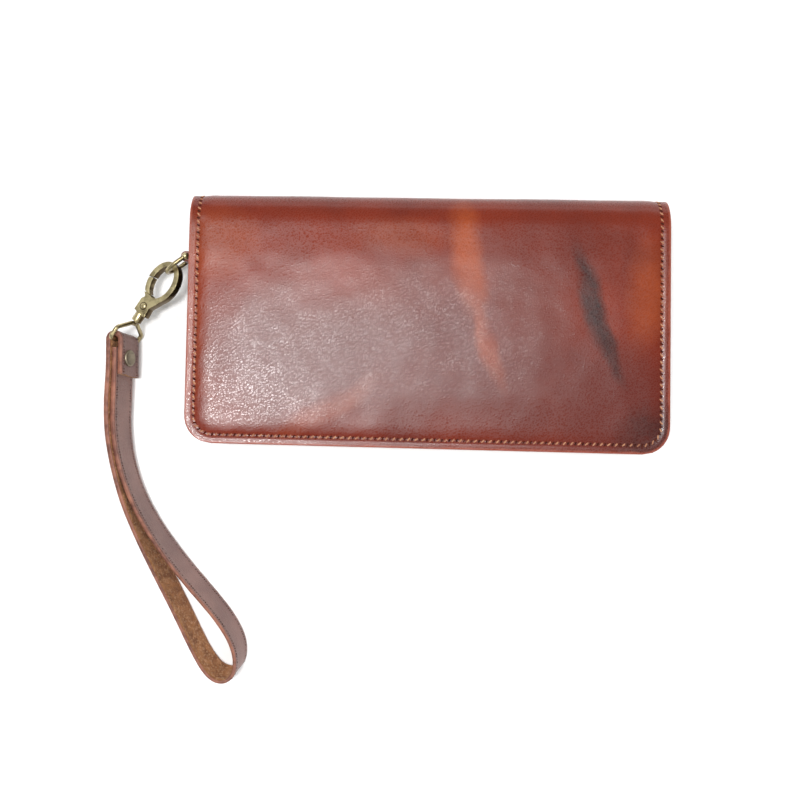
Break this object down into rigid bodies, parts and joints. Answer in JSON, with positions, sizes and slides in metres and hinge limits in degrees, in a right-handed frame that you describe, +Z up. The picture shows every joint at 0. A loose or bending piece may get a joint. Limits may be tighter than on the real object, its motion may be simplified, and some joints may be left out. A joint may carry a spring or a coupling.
{
  "type": "zippered pouch",
  "caption": "Long zip-around leather pouch with a folded cover, card pockets and a wrist strap on a swivel hook.",
  "frame": {"origin": "centre of the back panel's outer face, which lies on the table", "axes": "+X along the pouch, +Y towards the folded spine, +Z up out of the back panel"},
  "size_m": [0.2359, 0.2055, 0.025],
  "materials": {
    "cover_leather": "glazed, reddish brown, cloudy",
    "tab_leather": "glazed, reddish brown",
    "strap_leather": "smooth grain outside, suede inside",
    "lining": "dark brown twill",
    "pocket_leather": "thin, matt brown",
    "zipper_tape": "woven, dark brown",
    "zipper_metal": "antique, satin",
    "spring_steel": "bright",
    "antique_brass": "antique, polished high spots",
    "rivet_brass": "antique, dull"
  },
  "bodies": {
    "case": {"back_cover": "cover_leather", "back_lining": "lining", "card_panel": "pocket_leather", "card_pocket_1": "pocket_leather", "card_pocket_2": "pocket_leather", "card_pocket_3": "pocket_leather", "zipper_tape_back": "zipper_tape", "zipper_teeth_back": "zipper_metal", "zipper_stops_back": "zipper_metal", "ring_tab": "tab_leather"},
    "front": {"front_cover": "cover_leather", "front_lining": "lining", "slip_pocket": "pocket_leather", "zipper_tape_front": "zipper_tape", "zipper_teeth_front": "zipper_metal", "zipper_stops_front": "zipper_metal"},
    "slider": {"zipper_slider": "zipper_metal"},
    "pull": {"zipper_pull": "zipper_metal"},
    "ring": {"d_ring": "antique_brass"},
    "hook": {"hook_body": "antique_brass", "gate_pin": "antique_brass", "gate_spring": "spring_steel"},
    "gate": {"hook_gate": "antique_brass"},
    "swivel": {"swivel_loop": "antique_brass"},
    "strap": {"wrist_strap": "strap_leather", "strap_rivet_cap": "rivet_brass", "strap_rivet_post": "rivet_brass", "strap_rivet_back": "rivet_brass"}
  },
  "joints": [
    {"name": "cover_fold", "type": "hinge", "parent": "case", "child": "front", "pos_m": [0, 0.0524, 0.0125], "axis": [-1, 0, 0], "range_deg": [0, 110]},
    {"name": "slider_travel", "type": "slide", "parent": "case", "child": "slider", "axis": [0, -1, 0], "range_m": [0, 0.055]},
    {"name": "pull_flip", "type": "hinge", "parent": "slider", "child": "pull", "pos_m": [0.0988, 0.0319, 0.0125], "axis": [0, 0, 1], "range_deg": [0, 165]},
    {"name": "ring_swing", "type": "hinge", "parent": "case", "child": "ring", "pos_m": [-0.1018, 0.0261, 0.012], "axis": [0, 0, 1], "range_deg": [-50, 10]},
    {"name": "hook_swing", "type": "hinge", "parent": "ring", "child": "hook", "pos_m": [-0.11038, 0.01987, 0.012], "axis": [0, 0, 1], "range_deg": [-30, 6]},
    {"name": "gate_pivot", "type": "hinge", "parent": "hook", "child": "gate", "pos_m": [-0.11962, 0.00517, 0.01073], "axis": [0.3501, -0.1402, -0.9262], "range_deg": [0, 20], "stiffness_Nm_per_rad": 0.0005},
    {"name": "swivel_spin", "type": "hinge", "parent": "hook", "child": "swivel", "pos_m": [-0.11962, 0.00517, 0.01073], "axis": [0.5571, 0.826, 0.0855], "continuous": true},
    {"name": "strap_swing", "type": "hinge", "parent": "swivel", "child": "strap", "pos_m": [-0.12954, -0.00953, 0.00921], "axis": [-0.3501, 0.1402, 0.9262], "range_deg": [-50, 4]}
  ]
}
